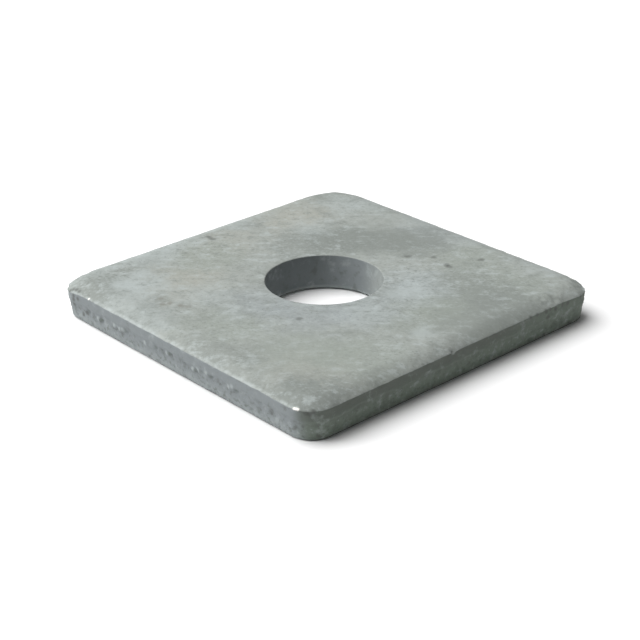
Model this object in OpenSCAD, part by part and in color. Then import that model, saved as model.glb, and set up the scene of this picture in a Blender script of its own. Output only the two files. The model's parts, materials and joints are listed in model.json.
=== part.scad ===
// Square plate washer for a bolt, blanked and pierced from flat steel, then galvanised.
// It lies on its underside with the rolled face up. The origin is the middle of the underside.

/* [Plate] */
// Overall width of the square, both ways
plate_side = 60; // [50:1:80]
// Thickness of the plate
plate_t = 6; // [5:0.1:8]
// Radius of the outline at its corners
corner_r = 4.5; // [3.5:0.1:7]

/* [Bolt hole] */
// Nominal diameter of the bolt
bolt_d = 16; // [12:1:20]
// Clearance of the hole over the bolt, on the diameter
bolt_clearance = 2; // [1:0.1:3]
// Radius of the hole's rounded rim at the underside
rim_r = 0.8; // [0.4:0.1:1.2]
// Height of the hole's straight wall above that rim
land_h = 2.6; // [1.5:0.1:3]
// How far the hole opens out on each side, from the straight wall to the top face
hole_flare = 0.3; // [0.1:0.05:0.8]

/* [Blanked edge] */
// How far the rolled edge reaches in over the top face
roll_w = 3.5; // [2.5:0.1:4.5]
// Depth of the rolled edge, from the top face to where the side is upright
roll_drop = 1.2; // [0.9:0.05:1.5]
// Radius at the outer end of the rolled edge
roll_end_r = 0.2; // [0.15:0.05:0.4]
// Radius at the corners of the line where the rolled edge leaves the top face
roll_corner_r = 2.5; // [2:0.1:3.5]
// Height of the upright band below the rolled edge
band_h = 1.4; // [0.8:0.1:1.8]
// How far the torn part of the side leans in on its way down to the underside
side_lean = 0.4; // [0.2:0.05:0.8]
// Width of the bevel along the underside's edge
foot_bevel = 0.25; // [0.1:0.05:0.4]

/* [Hidden] */
$fn = 180;

// Room by which a cutting shape runs past the faces that it cuts
past = 1;

// Distance of each corner arc's centre from the middle, along X and along Y
corner_at = plate_side / 2 - corner_r;
hole_r = (bolt_d + bolt_clearance) / 2;
land_top = rim_r + land_h;

// The rolled edge is a large arc that leaves the top face level, and a small arc that ends upright.
// It turns each corner more widely than the outline does, so it is widest and deepest at the tip.
roll_r = (pow(roll_w - roll_end_r, 2) + pow(roll_drop, 2) - pow(roll_end_r, 2))
    / (2 * (roll_drop - roll_end_r));
roll_corner_at = plate_side / 2 - roll_w - roll_corner_r;
// Direction from the large arc's centre through the small one's, where the two arcs meet
meet_dir = [roll_w - roll_end_r, roll_r - roll_drop] / (roll_r - roll_end_r);
// Amount by which an arc stands proud of the line or arc that it runs out of, so that the two cross
proud = 0.002;

// A section swept round a square: straight along the sides, and turned about a point at each corner.
// The section's points are (distance out from the turning point, height).
module sweep_round(turn_at) {
    for (turn = [0 : 90 : 270])
        rotate([0, 0, turn])
            translate([turn_at, 0, 0]) {
                rotate([90, 0, 0])
                    linear_extrude(2 * turn_at, center = true)
                        children();
                translate([0, turn_at, 0])
                    rotate_extrude(angle = 90)
                        children();
            }
}

// What the rolled edge's large arc takes off the top face
module roll_waste() {
    translate([roll_corner_r, plate_t - roll_r])
        difference() {
            square([roll_r, roll_r + past]);
            circle(roll_r + proud);
        }
}

// What the rolled edge's small arc takes off the section of the side
module end_waste() {
    translate([corner_r - roll_end_r, plate_t - roll_drop])
        difference() {
            polygon([
                [0, 0],
                [roll_end_r + past, 0],
                [roll_end_r + past, roll_drop + past],
                (roll_drop + past) * meet_dir
            ]);
            circle(roll_end_r + 2 * proud);
        }
}

// Section of the plate's side, from the line of the corner centres outwards
module side_section() {
    difference() {
        polygon([
            [0, 0],
            [corner_r - side_lean - foot_bevel, 0],
            [corner_r - side_lean, foot_bevel],
            [corner_r, plate_t - roll_drop - band_h],
            [corner_r, plate_t],
            [0, plate_t]
        ]);
        end_waste();
    }
}

// The plate with its sides, before the top face is rolled and the hole is pierced
module blank() {
    translate([-corner_at, -corner_at, 0])
        cube([2 * corner_at, 2 * corner_at, plate_t]);
    sweep_round(corner_at)
        side_section();
}

// Shape of the pierced hole: a rounded rim at the underside, a straight wall, then an opening cone
module hole_space() {
    rotate_extrude()
        difference() {
            polygon([
                [0, -past],
                [hole_r + rim_r, -past],
                [hole_r + rim_r, rim_r],
                [hole_r, rim_r],
                [hole_r, land_top],
                [hole_r + hole_flare, plate_t],
                [hole_r + hole_flare, plate_t + past],
                [0, plate_t + past]
            ]);
            translate([hole_r + rim_r, rim_r])
                circle(rim_r);
        }
}

module washer_plate() {
    color("darkgray")
        difference() {
            blank();
            sweep_round(roll_corner_at)
                roll_waste();
            hole_space();
        }
}

washer_plate();
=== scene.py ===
"""Square plate washer: one galvanised steel plate on a plain studio floor."""

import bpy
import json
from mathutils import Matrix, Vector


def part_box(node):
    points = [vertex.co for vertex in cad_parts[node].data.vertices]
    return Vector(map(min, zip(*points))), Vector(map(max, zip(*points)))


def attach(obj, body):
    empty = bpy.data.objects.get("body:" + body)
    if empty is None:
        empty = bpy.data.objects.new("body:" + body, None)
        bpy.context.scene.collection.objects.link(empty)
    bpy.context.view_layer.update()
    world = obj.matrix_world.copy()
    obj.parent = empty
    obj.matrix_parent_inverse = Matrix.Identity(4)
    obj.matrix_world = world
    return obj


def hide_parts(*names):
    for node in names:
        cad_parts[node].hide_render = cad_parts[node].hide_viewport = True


bl_info = {
    "name": "Square plate washer",
    "version": (1, 0, 0),
    "blender": (4, 5, 0),
    "location": "3D View > Sidebar > Washer",
    "description": "Models a blanked and galvanised plate washer and sets a studio round it",
    "category": "Object",
}

import json
import math
import random

import bmesh
import bpy
from bpy.props import FloatProperty, FloatVectorProperty, PointerProperty
from mathutils import Matrix, Vector

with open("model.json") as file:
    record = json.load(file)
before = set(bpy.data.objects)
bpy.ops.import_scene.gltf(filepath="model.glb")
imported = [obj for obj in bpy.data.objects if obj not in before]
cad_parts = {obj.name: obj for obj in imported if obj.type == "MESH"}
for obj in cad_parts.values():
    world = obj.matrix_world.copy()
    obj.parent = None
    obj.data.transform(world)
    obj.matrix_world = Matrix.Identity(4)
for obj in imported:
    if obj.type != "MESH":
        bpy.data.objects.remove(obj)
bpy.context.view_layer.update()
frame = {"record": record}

# The CAD model gives the sizes that the visible plate keeps to
PLATE_LOW, PLATE_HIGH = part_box("washer_plate")
BOLT_HOLE = next(m for m in frame["record"]["mounts"] if m["name"] == "bolt_hole")
MM = 0.001

# Steps of the mesh round one corner and along one side; a side is cut up in two goes
CORNER_STEPS = 24
SIDE_CUTS = (40, 4)
# Rings of the mesh down the sides, across the two faces and through the hole
ROLL_END_RINGS = 4
ROLL_RINGS = 12
BAND_RINGS = 7
STEP_RINGS = 2
TORN_RINGS = 13
BEVEL_RINGS = 2
TOP_RINGS = 52
UNDERSIDE_RINGS = 14
RIM_RINGS = 4
CONE_RINGS = 7
WALL_RINGS = 5
# Share of the CAD box's width at which the visible plate ends
INSIDE_BOX = 0.9998
# Distance within which two heights or two vertices count as the same
SAME_HEIGHT = 0.01 * MM
SAME_PLACE = 0.001 * MM
# Upward part of the normal past which a face counts as level
LEVEL = 0.9
# Length past which an edge of the outline belongs to a straight side and not to a corner
STRAIGHT_EDGE = 1 * MM

# Which way each corner lies, and its share of the fall of the rolled edge
CORNER_FALLS = ((-1, -1, 0.8), (1, 1, 0.6), (-1, 1, 1), (1, -1, 0.15))

# Lumps of zinc and pits on the front side, in millimetres along it and up from the underside
FRONT_LARGE_LUMPS = ((-18.8, 2.3), (-13.2, 2.5), (4.9, 2.6), (6.1, 2.9), (13, 2.9), (13.8, 3.2))
FRONT_SMALL_LUMPS = ((-14.6, 2.7), (-12.3, 2.8), (-6.8, 2.5), (-1.4, 2.8), (8, 3.1))
FRONT_PITS = (
    (-25.2, 1), (-21.3, 2.7), (-17.7, 2.4), (-11.4, 2.5), (-9.9, 1), (-4.3, 2.6), (-2.5, 2.9),
    (-0.6, 2.9), (2.8, 3), (5.6, 2.5), (8.8, 2.9), (8, 1), (14.6, 2.9), (17.4, 1), (19.7, 3))
# How far the large ones and the others spread, and the other heights as shares of the large lumps' height
LARGE_REACH = 0.7
SMALL_REACH = 0.55
SMALL_SHARE = 0.6
PIT_SHARE = 0.7
# How far along a side its random lumps and pits lie, each way from the middle
SPOTS_REACH = 24
# Small bumps on the front's top edge, in millimetres from the middle
EDGE_BUMPS = ((-21, -29.8), (19.4, -29.8), (27, -29.2))
BUMP_RISE = 0.12
BUMP_REACH = 0.7
# A chip in the right side's top edge: its place along the side, which way it goes and how wide it is
CHIP_AT = -2.2
CHIP_MOVE = (-0.3, 0, -0.2)
CHIP_REACH = 0.8
# Painted shade, standing for the shadow in crevices of the edge, at the left end of the front side, at the
# front corner and on the right side
PAINTED_CREVICE_SHADE = (
    (-26.6, -29.6, 4.6), (-26, -29.4, 4.9), (-25.3, -29.3, 5.1), (-24.4, -29.4, 5.1), (-25.3, -30, 4.3),
    (-25.4, -29.9, 3.6), (-25.6, -29.7, 2.7), (-24.2, -29.9, 4.1), (-23.3, -29.7, 1.7), (-22.2, -29.7, 2.3),
    (28.2, -29, 4.5), (28.6, -28.7, 4.4), (28.9, -28.2, 4.7), (29.9, 14.5, 4.8), (30, 16, 4.8),
    (29.9, 18.1, 4.6), (29.9, 18.5, 3.5), (30, 19, 4.7), (29.9, 20.2, 4.4), (29.9, 21.8, 4.5),
    (29.9, 23, 4.4), (29.8, 26.2, 4.3), (29.6, 24, 0.7), (29.5, 18.2, 0.6))
# Painted highlights: small glints on the front's top edge
GLINTS = ((-21.2, -29.8, 5), (26.6, -29.7, 4.9), (26.9, -29.6, 4.9), (27.2, -29.5, 4.9))

# Patches of the top face, in millimetres from the middle
# Pale patches; those along the back-left edge (x near -29) and the back-right edge (y near 29) are painted
# light on the rolled edge where it faces the light
PALE_AND_LIT_SPOTS = (
    (14, 7), (9.5, 10.5), (13.5, -3), (-20, -23), (-24.5, -13.5), (-21, 24), (-14.5, -27.5), (-17, 12),
    (-16, -21), (-8, -17), (-7, -28), (-29, -11), (-29, -18), (-28.5, -25), (-29, 4), (-28, -6), (-8, 29),
    (6, 29), (-17, 28.5), (20, 29))
WARM_SPOTS = ((-19.5, 11.5), (-24, 15.5), (-21.5, -2.5), (-13, -17.5), (-18, -12), (26.5, -27), (21, -21))
GREEN_SPOTS = ((22.5, 19), (19, 10), (26, 8), (16, -19), (2, -21), (24, -14), (18, 1), (10, 22), (-20, -8))
BLUE_SPOTS = ((12.5, -3), (8, -10.5), (0, -13), (12, 8), (-1, 24))
DULL_SPOTS = (
    (-5, 17), (-9, 13), (-13, 9), (0, 21), (28, 14), (27, 5), (19.5, 14), (28, -26), (25, -28.5),
    (-22, -28), (7, -31))
# Parts of the top face where the mottling is weak, and parts where it is strong
CALM_SPOTS = ((17, -18), (-5, 20), (26, 8))
LIVELY_SPOTS = ((9, 11), (13, 3), (-25, -5), (-24, -23))
# Small pale blooms and dark specks of the top face
BLOOM_SPOTS = ((13, 6.5), (11.5, 4), (24, -2.5), (-20, -24), (-21.5, -19.5))
SOOT_SPECKS = (
    (6, 18.3), (9.6, 17.6), (10.4, 17.4), (11.9, 23.4), (2.8, 15.7), (7.9, -12.2), (-24.8, -2.6),
    (-25.8, -2.3))
BROWN_SPECKS = ((-6.7, -21.5), (-7.6, -22.2), (-9.6, -22.6), (-10.4, -23.6), (-12, -23))
# How far the outlines of the patches and of the specks stray, in millimetres
PATCH_STRAY = 10
SPECK_STRAY = 2
# Which way the streaks of the top face run, in degrees from X, and how much they are stretched
STREAK_TURN = 48
STREAK_STRETCH = (3, 0.8, 1)
# Which way the part of the hole's wall with the most painted light faces
PAINTED_LIGHT_WALL_FACES = (-0.67, -0.74, 0)


def length(name, words, size):
    """A length in millimetres, as a property in metres."""
    return FloatProperty(name=name, description=words, default=size * MM, unit="LENGTH", precision=5)


def angle(name, words, degrees):
    """An angle in degrees, as a property."""
    return FloatProperty(name=name, description=words, default=math.radians(degrees), subtype="ANGLE")


def colour(name, words, rgb):
    """A colour property."""
    return FloatVectorProperty(
        name=name, description=words, default=rgb, subtype="COLOR", size=3, min=0, max=1)


class WasherShape(bpy.types.PropertyGroup):
    """Sizes of the washer plate"""

    side: length("Side", "Width of the square", (PLATE_HIGH.x - PLATE_LOW.x) / MM)
    thickness: length("Thickness", "Thickness of the plate", (PLATE_HIGH.z - PLATE_LOW.z) / MM)
    corner: length("Corner radius", "Radius of the outline's corners", 4.5)
    hole: length("Hole radius", "Radius of the hole's straight wall", BOLT_HOLE["dims"]["r_mm"])
    land: length("Hole land", "Height of the hole's straight wall", BOLT_HOLE["dims"]["length_mm"])
    rim: length("Hole rim", "Radius of the hole's rounded rim at the underside", 0.8)
    flare: length("Hole flare", "How far the hole opens out at the top face", 0.3)
    lip: length("Hole lip", "Radius of the zinc on the hole's top rim", 0.15)
    roll: length("Roll width", "How far the rolled edge reaches in", 3.5)
    drop: length("Roll depth", "Depth of the rolled edge where it meets the side", 1.2)
    roll_end: length("Roll end radius", "Radius where the rolled edge turns down", 0.2)
    band: length("Upright band", "Height of the upright band of the side", 1.4)
    lean: length("Side lean", "How far the torn part of the side leans in", 0.4)
    bevel: length("Foot bevel", "Bevel along the edge of the underside", 0.25)
    fall: length("Corner fall", "How much lower the rolled edge is at the corners", 0.48)
    fall_reach: length("Corner reach", "How far in from its tip a corner falls", 5)
    side_room: length("Side room", "Room at the sides for the zinc's unevenness", 0.06)
    face_room: length("Face room", "Room at the two faces for the zinc's unevenness", 0.05)
    step: length("Tear step", "How far the torn part steps in under the band", 0.15)
    lump: length("Lump height", "Height of the large lumps of zinc on the sides", 0.4)
    waviness: length("Waviness", "Broad unevenness of the zinc", 0.08)
    grain: length("Grain", "Fine unevenness of the zinc", 0.05)
    tear: length("Tear", "Unevenness of the torn part of the sides", 0.22)
    tear_line: length("Tear line", "Unevenness of the line where the tear begins", 1.2)
    crest: length("Crest", "Unevenness of the outer end of the rolled edge", 0.3)
    battering: length("Battering", "Unevenness of the two battered corners", 0.8)


class WasherFinish(bpy.types.PropertyGroup):
    """Colours of the zinc"""

    zinc: colour("Zinc", "Main grey of the zinc", (0.3, 0.322, 0.302))
    dull: colour("Dull zinc", "Darker clouds of the zinc", (0.21, 0.23, 0.214))
    # Real pale bloom, and also the colour of the painted light on edges, lumps, lower sides and the hole's
    # foot
    pale: colour("Pale zinc", "Pale bloom on the zinc", (0.39, 0.43, 0.425))
    warm: colour("Warm zinc", "Beige patches of the zinc", (0.325, 0.334, 0.3))
    green: colour("Green zinc", "Greenish patches of the zinc", (0.268, 0.295, 0.266))
    blue: colour("Blue zinc", "Bluish patches of the zinc", (0.275, 0.302, 0.306))
    side: colour("Side zinc", "Bluish zinc on the sides", (0.217, 0.24, 0.247))
    # Painted shade: the right side's colour is darker because that side faces away from the light
    shaded: colour("Right side zinc", "Greenish zinc on the right side", (0.155, 0.187, 0.155))
    # Partly painted shade: the hole's wall is darker than the sides
    bore: colour("Hole zinc", "Bluish zinc in the hole", (0.16, 0.18, 0.184))
    # Painted highlight: the colour of the glints on the front's top edge
    glint: colour("Painted glint", "Small bright places on the edge", (0.85, 0.83, 0.78))
    # Dark specks and pits, and also the painted shade of the crevices and of the right side's band
    soot_and_shade: colour("Soot", "Specks and pits", (0.09, 0.097, 0.088))
    brown: colour("Brown", "Brownish specks", (0.17, 0.165, 0.14))


class WasherStage(bpy.types.PropertyGroup):
    """The camera, the light and the floor"""

    azimuth: angle("View azimuth", "Turn of the camera round the plate", 48.27)
    elevation: angle("View elevation", "Height of the camera over the floor", 25.86)
    tilt: angle("View tilt", "Turn of the camera about its own axis", -0.93)
    distance: length("View distance", "From the camera to the middle of the top face", 248.7)
    aim_right: length("Aim right", "Aim to the right of the middle of the top face", -0.66)
    aim_up: length("Aim up", "Aim above the middle of the top face", -6.47)
    lens: FloatProperty(name="Lens", description="Focal length in millimetres", default=89.5)
    key_azimuth: angle("Key azimuth", "Turn of the large softbox round the plate", -66)
    key_elevation: angle("Key elevation", "Height of the large softbox over the floor", 61)
    key_size: length("Key size", "Width of the large softbox", 1600)
    key_power: FloatProperty(
        name="Key power", description="Power of the large softbox", default=38, unit="POWER")
    fill_azimuth: angle("Fill azimuth", "Turn of the small softbox round the plate", -45)
    fill_elevation: angle("Fill elevation", "Height of the small softbox over the floor", 20)
    fill_size: length("Fill size", "Width of the small softbox", 800)
    fill_power: FloatProperty(
        name="Fill power", description="Power of the small softbox", default=7, unit="POWER")
    light_distance: length("Light distance", "From each softbox to the plate", 1500)
    room: FloatProperty(name="Room light", description="Strength of the light all round", default=0.14)
    floor: colour("Floor", "Colour of the floor", (0.94, 0.94, 0.94))


def deselect_all():
    """Leave edit mode and clear the selection."""
    if bpy.context.object and bpy.context.object.mode != "OBJECT":
        bpy.ops.object.mode_set(mode="OBJECT")
    bpy.ops.object.select_all(action="DESELECT")


def pick(plate, kind, wanted):
    """In edit mode, select only the vertices, edges or faces that a test picks."""
    bpy.ops.mesh.select_mode(type=kind)
    bpy.ops.mesh.select_all(action="DESELECT")
    mesh = bmesh.from_edit_mesh(plate.data)
    for item in {"VERT": mesh.verts, "EDGE": mesh.edges, "FACE": mesh.faces}[kind]:
        if wanted(item):
            item.select_set(True)
    bmesh.update_edit_mesh(plate.data)


def inset_along(points):
    """Inset the selected cap through a run of (inwards, along its normal) points."""
    for here, there in zip(points, points[1:]):
        bpy.ops.mesh.inset(thickness=there[0] - here[0], depth=there[1] - here[1])


def line_points(inwards, along, steps):
    """Points of a straight run of the section, in equal steps."""
    return [(inwards * step / steps, along * step / steps) for step in range(steps + 1)]


def roll_points(shape):
    """Points (in from the side, up from the band) of the rolled edge: a small arc, then a large one."""
    width, drop, end = shape.roll, shape.drop, shape.roll_end
    large = ((width - end) ** 2 + drop ** 2 - end ** 2) / (2 * (drop - end))
    meet = math.atan2(large - drop, width - end)
    small_arc = [meet * step / ROLL_END_RINGS for step in range(ROLL_END_RINGS)]
    large_arc = [meet + (math.pi / 2 - meet) * step / ROLL_RINGS for step in range(ROLL_RINGS + 1)]
    return (
        [(end - end * math.cos(turn), end * math.sin(turn)) for turn in small_arc]
        + [(width - large * math.cos(turn), drop - large + large * math.sin(turn)) for turn in large_arc]
    )


def quarter_turn():
    """Angles of a quarter turn round a rim of the hole, in equal steps."""
    return [math.pi / 2 * step / RIM_RINGS for step in range(RIM_RINGS + 1)]


def top_rim_points(shape, high):
    """Points (radius, height) down the hole from the top face: its lip of zinc, then the cone."""
    wide = shape.hole + shape.flare
    lip_low = high - shape.lip
    cone_height = lip_low - shape.rim - shape.land
    lip = [
        (wide + shape.lip * (1 - math.sin(turn)), lip_low + shape.lip * math.cos(turn))
        for turn in quarter_turn()]
    cone = [
        (wide - shape.flare * step / CONE_RINGS, lip_low - cone_height * step / CONE_RINGS)
        for step in range(1, CONE_RINGS + 1)]
    return lip + cone


def foot_rim_points(shape, low):
    """Points (radius, height) up the hole's rounded rim, from the underside to the straight wall."""
    wide = shape.hole + shape.rim
    rise = shape.rim - low
    return [
        (wide - shape.rim * math.sin(turn), low + rise * (1 - math.cos(turn)))
        for turn in quarter_turn()]


def raise_sides(shape, low, high):
    """The outline with its sides, rolled edge and bevel, open at the top and at the underside."""
    width = shape.side - 2 * shape.side_room
    band_top = high - shape.drop
    band_low = band_top - shape.band
    bpy.ops.mesh.primitive_plane_add(size=width, location=(0, 0, band_low))
    bpy.ops.object.transform_apply(location=True)
    plate = bpy.context.object
    bpy.ops.object.mode_set(mode="EDIT")
    bpy.ops.mesh.select_all(action="SELECT")
    bpy.ops.mesh.bevel(offset=shape.corner - shape.side_room, segments=CORNER_STEPS, affect="VERTICES")
    bpy.ops.mesh.delete(type="ONLY_FACE")
    for pieces in SIDE_CUTS:
        pick(plate, "EDGE", lambda edge: edge.calc_length() > STRAIGHT_EDGE)
        bpy.ops.mesh.subdivide(number_cuts=pieces - 1)
    bpy.ops.mesh.select_all(action="SELECT")
    bpy.ops.mesh.edge_face_add()
    for _ in range(BAND_RINGS):
        bpy.ops.mesh.extrude_region_move(
            TRANSFORM_OT_translate={"value": (0, 0, shape.band / BAND_RINGS)})
    bpy.ops.mesh.select_all(action="SELECT")
    bpy.ops.mesh.normals_make_consistent(inside=False)
    pick(plate, "FACE", lambda face: face.normal.z > LEVEL)
    inset_along(roll_points(shape))
    bpy.ops.mesh.delete(type="ONLY_FACE")
    pick(plate, "FACE", lambda face: face.normal.z < -LEVEL)
    step_height = 2 * shape.step
    torn_height = band_low - low - shape.bevel - step_height
    inset_along(line_points(shape.step, step_height, STEP_RINGS))
    inset_along(line_points(shape.lean - shape.step, torn_height, TORN_RINGS))
    inset_along(line_points(shape.bevel, shape.bevel, BEVEL_RINGS))
    bpy.ops.mesh.delete(type="ONLY_FACE")
    return plate


def pick_open_ring(plate, height):
    """Select the ring of open edges at one height."""
    pick(plate, "EDGE", lambda edge: len(edge.link_faces) == 1
         and all(abs(vert.co.z - height) < SAME_HEIGHT for vert in edge.verts))


def ring_radius(plate):
    """Mean radius of the selected ring."""
    mesh = bmesh.from_edit_mesh(plate.data)
    reach = [vert.co.xy.length for vert in mesh.verts if vert.select]
    return sum(reach) / len(reach)


def scale_ring(scale):
    """Scale the selected ring about the axis of the hole."""
    bpy.ops.transform.resize(value=(scale, scale, 1), center_override=(0, 0, 0))


def close_face(plate, height, radius, steps):
    """Fill a face from its open outline inwards, with rings that turn into a circle of the radius."""
    pick_open_ring(plate, height)
    start = ring_radius(plate)
    sizes = [start + (radius - start) * step / steps for step in range(steps + 1)]
    for step in range(steps):
        bpy.ops.mesh.extrude_edges_move()
        bpy.ops.transform.tosphere(value=1 / (steps - step))
        scale_ring(sizes[step + 1] / sizes[step])


def turn_rim(points):
    """Lead the selected circle on through a run of (radius, height) points."""
    for here, there in zip(points, points[1:]):
        bpy.ops.mesh.extrude_edges_move(TRANSFORM_OT_translate={"value": (0, 0, there[1] - here[1])})
        scale_ring(there[0] / here[0])


def pierce_hole(plate, shape, low, high):
    """Fill both faces of the plate round the hole and join their rims by the straight wall."""
    for height, points, steps in (
            (high, top_rim_points(shape, high), TOP_RINGS),
            (low, foot_rim_points(shape, low), UNDERSIDE_RINGS)):
        close_face(plate, height, points[0][0], steps)
        turn_rim(points)
    pick(plate, "EDGE", lambda edge: len(edge.link_faces) == 1)
    bpy.ops.mesh.bridge_edge_loops(number_cuts=WALL_RINGS, interpolation="LINEAR")


def drop_corners(plate, shape, high):
    """Let the rolled edge fall at its corners, least at the front one."""
    tip = (shape.side / 2 - shape.corner) * math.sqrt(2) + shape.corner - shape.side_room
    near_tip = tip - 0.3 * MM
    roll_low = high - shape.drop - SAME_HEIGHT
    for x, y, share in CORNER_FALLS:
        pick(plate, "VERT", lambda vert: vert.co.z > roll_low and vert.co.xy.length > near_tip
             and vert.co.x * x > 0 and vert.co.y * y > 0)
        bpy.ops.transform.translate(
            value=(0, 0, -shape.fall * share), use_proportional_edit=True,
            proportional_edit_falloff="SMOOTH", proportional_size=shape.fall_reach)


def push(plate, places, move, reach, falloff="SMOOTH"):
    """Move the mesh round some places, fading out with the reach: lumps, pits or chips."""
    mesh = bmesh.from_edit_mesh(plate.data)
    bpy.ops.mesh.select_all(action="DESELECT")
    shown = [vert for vert in mesh.verts if not vert.hide]
    for place in places:
        nearest = min(shown, key=lambda vert: (vert.co - place).length_squared)
        nearest.select_set(True)
    bmesh.update_edit_mesh(plate.data)
    bpy.ops.transform.translate(
        value=move, use_proportional_edit=True,
        proportional_edit_falloff=falloff, proportional_size=reach)


def side_spots(chance, count, low, high):
    """Random places on a side, in millimetres along it and up from the underside."""
    return [(chance.uniform(-SPOTS_REACH, SPOTS_REACH), chance.uniform(low, high)) for _ in range(count)]


def roughen_sides(plate, shape, high):
    """Set lumps of zinc and pits on the torn sides: at listed places on the front, at random on the others.
    """
    torn_top = high - shape.drop - shape.band
    pick(plate, "FACE", lambda face: face.calc_center_median().z > torn_top)
    bpy.ops.mesh.hide()
    bpy.ops.mesh.select_mode(type="VERT")
    chance = random.Random(4)
    for turn in range(4):
        large, small, pits = FRONT_LARGE_LUMPS, FRONT_SMALL_LUMPS, FRONT_PITS
        if turn > 0:
            large = side_spots(chance, count=4, low=2.3, high=3.3)
            small = side_spots(chance, count=12, low=1.2, high=3.8)
            pits = side_spots(chance, count=8, low=0.8, high=2.2)
        turned = Matrix.Rotation(turn * math.pi / 2, 3, "Z")
        out = turned @ Vector((0, -1, 0))
        for marks, height, reach in (
                (large, shape.lump, LARGE_REACH),
                (small, shape.lump * SMALL_SHARE, SMALL_REACH),
                (pits, -shape.lump * PIT_SHARE, SMALL_REACH)):
            places = [turned @ Vector((along * MM, -shape.side / 2, up * MM)) for along, up in marks]
            push(plate, places, out * height, reach * MM)
    bpy.ops.mesh.reveal(select=False)


def chip_edges(plate, shape, high):
    """Raise small bumps on the front's top edge and break a chip out of the right one."""
    crest = high - shape.drop + shape.roll_end
    bumps = [Vector((x * MM, y * MM, crest)) for x, y in EDGE_BUMPS]
    push(plate, bumps, Vector((0, 0, BUMP_RISE * MM)), BUMP_REACH * MM)
    chip = Vector((shape.side / 2, CHIP_AT * MM, crest))
    push(plate, [chip], Vector(CHIP_MOVE) * MM, CHIP_REACH * MM, "SHARP")


def mark(plate, name, weigh):
    """Make a vertex group, with the weight worked out at each vertex."""
    group = plate.vertex_groups.new(name=name)
    for vert in plate.data.vertices:
        weight = min(1, weigh(vert.co))
        if weight > 0:
            group.add([vert.index], weight, "REPLACE")


def displace(plate, name, size, strength, group="", way="NORMAL"):
    """Push the surface in and out, or up and down, by noise with clouds of that size in millimetres."""
    texture = bpy.data.textures.new(name, type="CLOUDS")
    texture.noise_scale = size * MM
    bpy.context.view_layer.objects.active = plate
    unevenness = plate.modifiers.new(name, "DISPLACE")
    unevenness.texture = texture
    unevenness.texture_coords = "LOCAL"
    unevenness.strength = strength
    unevenness.vertex_group = group
    unevenness.direction = way
    bpy.ops.object.modifier_apply(modifier=name)


def uneven_zinc(plate, shape, high):
    """Give the faces the unevenness of zinc, and more of it where the sides are torn or battered."""
    band_top = high - shape.drop
    band_low = band_top - shape.band
    rind = 1 * MM
    foot_clear = 0.3 * MM
    torn_fade = 0.6 * MM
    line_reach = 1.2 * MM
    crest_reach = 0.6 * MM
    battered_reach = 4.6 * MM
    corner_in = shape.corner * (1 - math.sqrt(0.5))
    left = Vector((corner_in - shape.side / 2, corner_in - shape.side / 2, band_top))
    right = Vector((-left.x, -left.y, left.z))
    right_edge = Vector((shape.side / 2, 20 * MM, band_top))

    def outside(place):
        beside = max(abs(place.x), abs(place.y)) > shape.side / 2 - rind
        return beside or place.xy.length > left.xy.length - rind

    def torn(place):
        return min(band_low - place.z, place.z - foot_clear) / torn_fade if outside(place) else 0

    def tear_line(place):
        return 1 - abs(place.z - band_low) / line_reach if outside(place) else 0

    def crest(place):
        return 1 - abs(place.z - band_top) / crest_reach if outside(place) else 0

    def battered(place):
        return 1 - min((place - middle).length for middle in (left, right, right_edge)) / battered_reach

    for weigh in (torn, tear_line, crest, battered):
        mark(plate, weigh.__name__, weigh)
    displace(plate, "waviness", 7, shape.waviness)
    displace(plate, "grain", 1.2, shape.grain)
    displace(plate, "tear_line", 2.5, shape.tear_line, "tear_line", "Z")
    displace(plate, "tear", 1.3, shape.tear, "torn")
    displace(plate, "crest", 1.1, shape.crest, "crest")
    displace(plate, "battering", 0.9, shape.battering, "battered")
    plate.vertex_groups.clear()


def press_flat(plate):
    """Press back what stands out past the sides of the CAD box."""
    bpy.ops.object.mode_set(mode="EDIT")
    for axis in (0, 1):
        for edge in (PLATE_LOW[axis], PLATE_HIGH[axis]):
            limit = edge * INSIDE_BOX
            pick(plate, "VERT", lambda vert: vert.co[axis] * math.copysign(1, edge) > abs(limit))
            # A scale of nothing about the limit lays the picked vertices on it
            flatten = Vector((1, 1, 1))
            flatten[axis] = 0
            bpy.ops.transform.resize(value=flatten, center_override=(limit, limit, 0))
    bpy.ops.object.mode_set(mode="OBJECT")


class WASHER_OT_plate(bpy.types.Operator):
    """Model the galvanised plate with its rolled edge and pierced hole"""

    bl_idname = "washer.plate"
    bl_label = "Washer plate"

    def execute(self, context):
        shape = context.scene.washer_shape
        low = shape.face_room
        high = shape.thickness - shape.face_room
        deselect_all()
        plate = raise_sides(shape, low, high)
        pierce_hole(plate, shape, low, high)
        bpy.ops.mesh.select_all(action="SELECT")
        bpy.ops.mesh.remove_doubles(threshold=SAME_PLACE)
        bpy.ops.mesh.normals_make_consistent(inside=False)
        drop_corners(plate, shape, high)
        roughen_sides(plate, shape, high)
        chip_edges(plate, shape, high)
        bpy.ops.object.mode_set(mode="OBJECT")
        uneven_zinc(plate, shape, high)
        press_flat(plate)
        bpy.ops.object.shade_smooth()
        plate.name = "galvanised_plate"
        plate.data.name = "galvanised_plate"
        plate.data.materials.append(zinc_material(shape, context.scene.washer_finish))
        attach(plate, "root")
        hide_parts("washer_plate")
        return {"FINISHED"}


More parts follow.
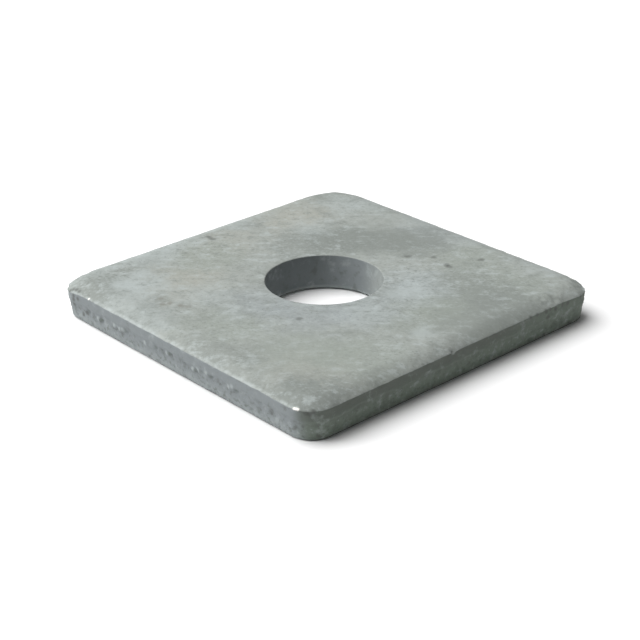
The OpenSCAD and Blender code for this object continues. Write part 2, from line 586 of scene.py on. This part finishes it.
class Shade:
    """A shader socket that works in Python expressions, such as 1 - mask."""

    def __init__(self, tree, socket=None):
        self.tree = tree
        self.socket = socket

    def node(self, kind, settings=None, inputs=None, output=0):
        """Add a node, set its settings and then the values or links of its sockets."""
        made = self.tree.nodes.new(kind)
        for name, value in (settings or {}).items():
            setattr(made, name, value)
        for key, value in (inputs or {}).items():
            if isinstance(value, Shade):
                self.tree.links.new(value.socket, made.inputs[key])
            else:
                made.inputs[key].default_value = value
        return Shade(self.tree, made.outputs[output])

    def math(self, operation, first, second=0.0):
        return self.node("ShaderNodeMath", {"operation": operation}, {0: first, 1: second})

    def __add__(self, other):
        return self.math("ADD", self, other)

    def __sub__(self, other):
        return self.math("SUBTRACT", self, other)

    def __rsub__(self, other):
        return self.math("SUBTRACT", other, self)

    def __mul__(self, other):
        return self.math("MULTIPLY", self, other)

    __radd__ = __add__
    __rmul__ = __mul__


def smooth(value, low, high):
    """A soft step from 0 at low to 1 at high."""
    return value.node(
        "ShaderNodeMapRange", {"interpolation_type": "SMOOTHSTEP"},
        {"Value": value, "From Min": low, "From Max": high})


def vector(operation, first, second=(0, 0, 0), output=0, **inputs):
    """A Vector Math node."""
    sockets = {0: first, 1: second, **inputs}
    return first.node("ShaderNodeVectorMath", {"operation": operation}, sockets, output)


def part(value, axis):
    """The X, Y or Z part of a vector."""
    return value.node("ShaderNodeSeparateXYZ", None, {0: value}, axis)


def noise(place, size, detail=3.0, roughness=0.55, output=0):
    """Cloudy noise from 0 to 1, with patches about size millimetres wide."""
    return place.node("ShaderNodeTexNoise", None, {
        "Vector": place, "Scale": 1 / size, "Detail": detail, "Roughness": roughness}, output)


def mix(mask, first, second):
    """Blend two colours by a mask."""
    def rgba(value):
        return value if isinstance(value, Shade) else (*value, 1)
    return mask.node("ShaderNodeMix", {"data_type": "RGBA"}, {0: mask, 6: rgba(first), 7: rgba(second)}, 2)


def vary(tone, field, *changes):
    """Blend a tone into other colours, each over its own range of a noise and by its own share."""
    for shade, start, end, share in changes:
        tone = mix(smooth(field, start, end) * share, tone, shade)
    return tone


def spots(place, middles, reach):
    """Soft round spots: 1 at each middle and 0 beyond the reach."""
    gaps = [vector("DISTANCE", place, middle, "Value") for middle in middles]
    return sum(1 - smooth(gap, reach * 0.2, reach) for gap in gaps)


def patches(flat, middles, reach):
    """Soft round patches of the top face."""
    return spots(flat, [(x, y, 0) for x, y in middles], reach)


def top_colour(place, finish):
    """Clouded, stained and speckled zinc of the two faces, with painted light on the rolled back edges."""
    drift = vector("SUBTRACT", noise(place, 3, 5, 0.65, output="Color"), (0.5, 0.5, 0.5))
    ragged = vector("ADD", place, vector("SCALE", drift, Scale=PATCH_STRAY))
    # The marks lie on the plane Z = 0, and the underside is led far away from them
    away = place.node("ShaderNodeCombineXYZ", None, {"Z": smooth(part(place, "Z"), 3, 2) * 50})
    flat = vector("ADD", vector("MULTIPLY", ragged, (1, 1, 0)), away)
    near = vector("ADD", place, vector("SCALE", drift, Scale=SPECK_STRAY))
    near = vector("ADD", vector("MULTIPLY", near, (1, 1, 0)), away)
    streaked = place.node("ShaderNodeMapping", {"vector_type": "TEXTURE"}, {
        "Vector": place, "Rotation": (0, 0, math.radians(STREAK_TURN)), "Scale": STREAK_STRETCH})
    mottle = noise(place, 1.6, 5, 0.7) * 0.6 + noise(streaked, 1.4, 4, 0.65) * 0.4
    tone = mix(smooth(noise(ragged, 8, 5, 0.6), 0.26, 0.6), finish.dull, finish.zinc)
    for middles, reach, share, shade in (
            (WARM_SPOTS, 9, 0.6, finish.warm), (GREEN_SPOTS, 10, 0.7, finish.green),
            (BLUE_SPOTS, 9, 0.6, finish.blue), (DULL_SPOTS, 9, 0.7, finish.dull),
            (PALE_AND_LIT_SPOTS, 6, 0.4, finish.pale)):
        tone = mix(patches(flat, middles, reach) * share, tone, shade)
    lively = 1 - patches(flat, CALM_SPOTS, 13) * 0.5 + patches(flat, LIVELY_SPOTS, 9) * 0.4
    mottled = lively * 0.6
    speckled = lively * 0.25
    tone = vary(tone, mottle, (finish.pale, 0.5, 0.64, mottled), (finish.dull, 0.5, 0.36, mottled))
    tone = vary(
        tone, noise(place, 0.5, 2),
        (finish.pale, 0.52, 0.72, speckled), (finish.soot_and_shade, 0.44, 0.28, speckled))
    tone = mix(patches(near, BLOOM_SPOTS, 2.8) * (0.8 - mottle * 0.6), tone, finish.pale)
    tone = mix(patches(near, BROWN_SPECKS, 0.8) * 0.5, tone, finish.brown)
    return mix(patches(near, SOOT_SPECKS, 0.9) * 0.6, tone, finish.soot_and_shade)


def side_colour(place, normal, finish):
    """Zinc of the sides and the hole, greener and darker on the right side as painted shade, with painted
    light where light falls, and pitted where the sides are torn.
    """
    height = part(place, "Z")
    shaded_right_side = smooth(part(normal, "X"), 0.1, 0.8)
    torn = smooth(height, 4, 2)
    # Painted shade: the right side, which faces away from the light, takes the darker colour
    tone = mix(shaded_right_side, finish.side, finish.shaded)
    # Painted shade: the right side's band is darker still, less so towards the back
    painted_band_shade = 0.6 - smooth(part(place, "Y"), 6, 20) * 0.45
    tone = mix(shaded_right_side * (1 - torn) * painted_band_shade, tone, finish.soot_and_shade)
    # Painted light from the floor: the sides but the right one are paler towards the underside
    tone = mix(smooth(height, 2.5, 0.3) * (1 - shaded_right_side) * 0.3, tone, finish.pale)
    # The wall of the hole: darker where it does not face -Y, partly as painted shade; painted light where
    # it faces the light and at its foot
    bore = smooth(vector("LENGTH", vector("MULTIPLY", place, (1, 1, 0)), output="Value"), 12, 11)
    wall = mix(smooth(part(normal, "Y"), -0.5, -0.95), finish.bore, finish.side)
    tone = mix(bore, tone, wall)
    to_light = vector("DOT_PRODUCT", normal, PAINTED_LIGHT_WALL_FACES, "Value")
    tone = mix(bore * smooth(to_light, 0.6, 1) * 0.6, tone, finish.zinc)
    tone = mix(bore * smooth(height, 1.1, 0.2) * 0.8, tone, finish.pale)
    tone = vary(
        tone, noise(place, 2, 5, 0.65), (finish.pale, 0.52, 0.7, 0.35), (finish.soot_and_shade, 0.46, 0.3, 0.45))
    pitted = torn * (1 - bore)
    tone = vary(
        tone, noise(place, 0.9, 4, 0.65),
        (finish.soot_and_shade, 0.5, 0.68, pitted * 0.6), (finish.pale, 0.44, 0.28, pitted * 0.4))
    # Painted highlights: the lumps of the front side are palest a little above and to the left of their
    # middles, where the light falls on them
    lit = [(along - 0.2, -29.8, up + 0.1) for along, up in FRONT_LARGE_LUMPS + FRONT_SMALL_LUMPS]
    return mix(spots(place, lit, 0.6) * 0.6, tone, finish.pale)


def zinc_material(shape, finish):
    """Dull hot-dip zinc, paler along the top edge of every side but the right one: partly wear on the zinc,
    partly a painted highlight that the shaded right side lacks.
    """
    material = bpy.data.materials.new("dull_zinc")
    material.use_nodes = True
    tree = material.node_tree
    surface = tree.nodes["Principled BSDF"]
    start = Shade(tree)
    metres = start.node("ShaderNodeTexCoord", output="Object")
    normal = start.node("ShaderNodeTexCoord", output="Normal")
    place = vector("SCALE", metres, Scale=1 / MM)
    upwards = part(normal, "Z")
    upright = 1 - smooth(upwards, 0.25, 0.65) - smooth(upwards, -0.85, -0.97)
    # Distance out from the square of the corner arcs' centres, which is the corner radius at the edge
    corner = shape.corner / MM
    corner_at = shape.side / 2 / MM - corner
    beyond = vector("SUBTRACT", vector("ABSOLUTE", place), (corner_at, corner_at, shape.thickness / MM))
    outwards = vector("LENGTH", vector("MAXIMUM", beyond), output="Value")
    lip = smooth(outwards, corner - 0.7, corner - 0.2) * (1 - upright)
    wear_and_sheen_lip = lip * smooth(part(normal, "X"), 0.35, 0.1)
    wear_and_sheen = wear_and_sheen_lip * smooth(noise(place, 1.3, 4, 0.65), 0.35, 0.65)
    # Partly wear, partly painted highlight: the top edge is paler, except on the shaded right side
    tone = mix(wear_and_sheen * 0.65, top_colour(place, finish), finish.pale)
    tone = mix(upright, tone, side_colour(place, normal, finish))
    # Painted shade in the crevices of the edge
    tone = mix(spots(place, PAINTED_CREVICE_SHADE, 0.55) * 0.7, tone, finish.soot_and_shade)
    # Painted highlights: the glints on the front's top edge
    tone = mix(spots(place, GLINTS, 0.32), tone, finish.glint)
    grit = noise(place, 0.4, 3, 0.6) * 0.6 + noise(place, 1.4, 4, 0.6)
    relief = start.node("ShaderNodeBump", None, {
        "Strength": 0.7, "Distance": 0.05 * MM, "Height": grit * (0.6 + upright * 0.6)})
    for name, value in (
            ("Base Color", tone), ("Normal", relief),
            ("Roughness", 0.6 + noise(place, 4, 4) * 0.25 - wear_and_sheen_lip * 0.15)):
        tree.links.new(value.socket, surface.inputs[name])
    surface.inputs["Metallic"].default_value = 0.1
    surface.inputs["Specular IOR Level"].default_value = 0.35
    return material


def direction(azimuth, elevation):
    """Unit vector from the plate towards a thing at that azimuth and elevation."""
    level = math.cos(elevation)
    return Vector((math.sin(azimuth) * level, -math.cos(azimuth) * level, math.sin(elevation)))


def facing(back, tilt=0.0):
    """Rotation of a camera or lamp that looks against the given direction."""
    right = Vector((-back.y, back.x, 0)).normalized()
    up = back.cross(right)
    axes = Matrix((right, up, back)).transposed()
    return axes.to_4x4() @ Matrix.Rotation(tilt, 4, "Z")


class WASHER_OT_stage(bpy.types.Operator):
    """Set the floor, the light and the camera"""

    bl_idname = "washer.stage"
    bl_label = "Studio stage"

    def execute(self, context):
        stage = context.scene.washer_stage
        middle = Vector((0, 0, context.scene.washer_shape.thickness))
        self.add_floor(stage)
        self.add_light(context.scene, stage, middle)
        self.add_camera(context.scene, stage, middle)
        return {"FINISHED"}

    def add_floor(self, stage):
        deselect_all()
        bpy.ops.mesh.primitive_plane_add(size=3)
        floor = bpy.context.object
        floor.name = "studio_floor"
        paint = bpy.data.materials.new("studio_floor")
        paint.use_nodes = True
        surface = paint.node_tree.nodes["Principled BSDF"]
        surface.inputs["Base Color"].default_value = (*stage.floor, 1)
        surface.inputs["Roughness"].default_value = 0.9
        surface.inputs["Specular IOR Level"].default_value = 0.0
        floor.data.materials.append(paint)

    def add_light(self, scene, stage, middle):
        for name, azimuth, elevation, size, power in (
                ("key_softbox", stage.key_azimuth, stage.key_elevation,
                 stage.key_size, stage.key_power),
                ("fill_softbox", stage.fill_azimuth, stage.fill_elevation,
                 stage.fill_size, stage.fill_power)):
            lamp = bpy.data.lights.new(name, "AREA")
            lamp.shape = "SQUARE"
            lamp.size = size
            lamp.energy = power
            softbox = bpy.data.objects.new(name, lamp)
            scene.collection.objects.link(softbox)
            back = direction(azimuth, elevation)
            softbox.matrix_world = Matrix.Translation(middle + back * stage.light_distance) @ facing(back)
        world = bpy.data.worlds.new("studio_room")
        world.use_nodes = True
        world.node_tree.nodes["Background"].inputs["Color"].default_value = (1, 1, 1, 1)
        world.node_tree.nodes["Background"].inputs["Strength"].default_value = stage.room
        scene.world = world

    def add_camera(self, scene, stage, middle):
        lens = bpy.data.cameras.new("studio_camera")
        lens.lens = stage.lens
        lens.sensor_width = 36
        lens.clip_start = 0.01
        camera = bpy.data.objects.new("studio_camera", lens)
        scene.collection.objects.link(camera)
        back = direction(stage.azimuth, stage.elevation)
        turn = facing(back, stage.tilt)
        aim = turn.to_3x3() @ Vector((stage.aim_right, stage.aim_up, stage.distance))
        camera.matrix_world = Matrix.Translation(middle + aim) @ turn
        scene.camera = camera
        scene.view_settings.view_transform = "Standard"


class WASHER_PT_panel(bpy.types.Panel):
    """Sizes and colours of the washer, and the buttons that make it"""

    bl_idname = "WASHER_PT_panel"
    bl_label = "Square plate washer"
    bl_space_type = "VIEW_3D"
    bl_region_type = "UI"
    bl_category = "Washer"

    def draw(self, context):
        for group in (context.scene.washer_shape, context.scene.washer_finish, context.scene.washer_stage):
            box = self.layout.box()
            for name in group.bl_rna.properties.keys():
                if name not in {"rna_type", "name"}:
                    box.prop(group, name)
        self.layout.operator("washer.plate")
        self.layout.operator("washer.stage")


CLASSES = (WasherShape, WasherFinish, WasherStage, WASHER_OT_plate, WASHER_OT_stage, WASHER_PT_panel)


def register():
    for item in CLASSES:
        bpy.utils.register_class(item)
    bpy.types.Scene.washer_shape = PointerProperty(type=WasherShape)
    bpy.types.Scene.washer_finish = PointerProperty(type=WasherFinish)
    bpy.types.Scene.washer_stage = PointerProperty(type=WasherStage)


def unregister():
    del bpy.types.Scene.washer_stage
    del bpy.types.Scene.washer_finish
    del bpy.types.Scene.washer_shape
    for item in reversed(CLASSES):
        bpy.utils.unregister_class(item)


def main():
    register()
    bpy.ops.washer.plate()
    bpy.ops.washer.stage()


if __name__ == "__main__":
    main()
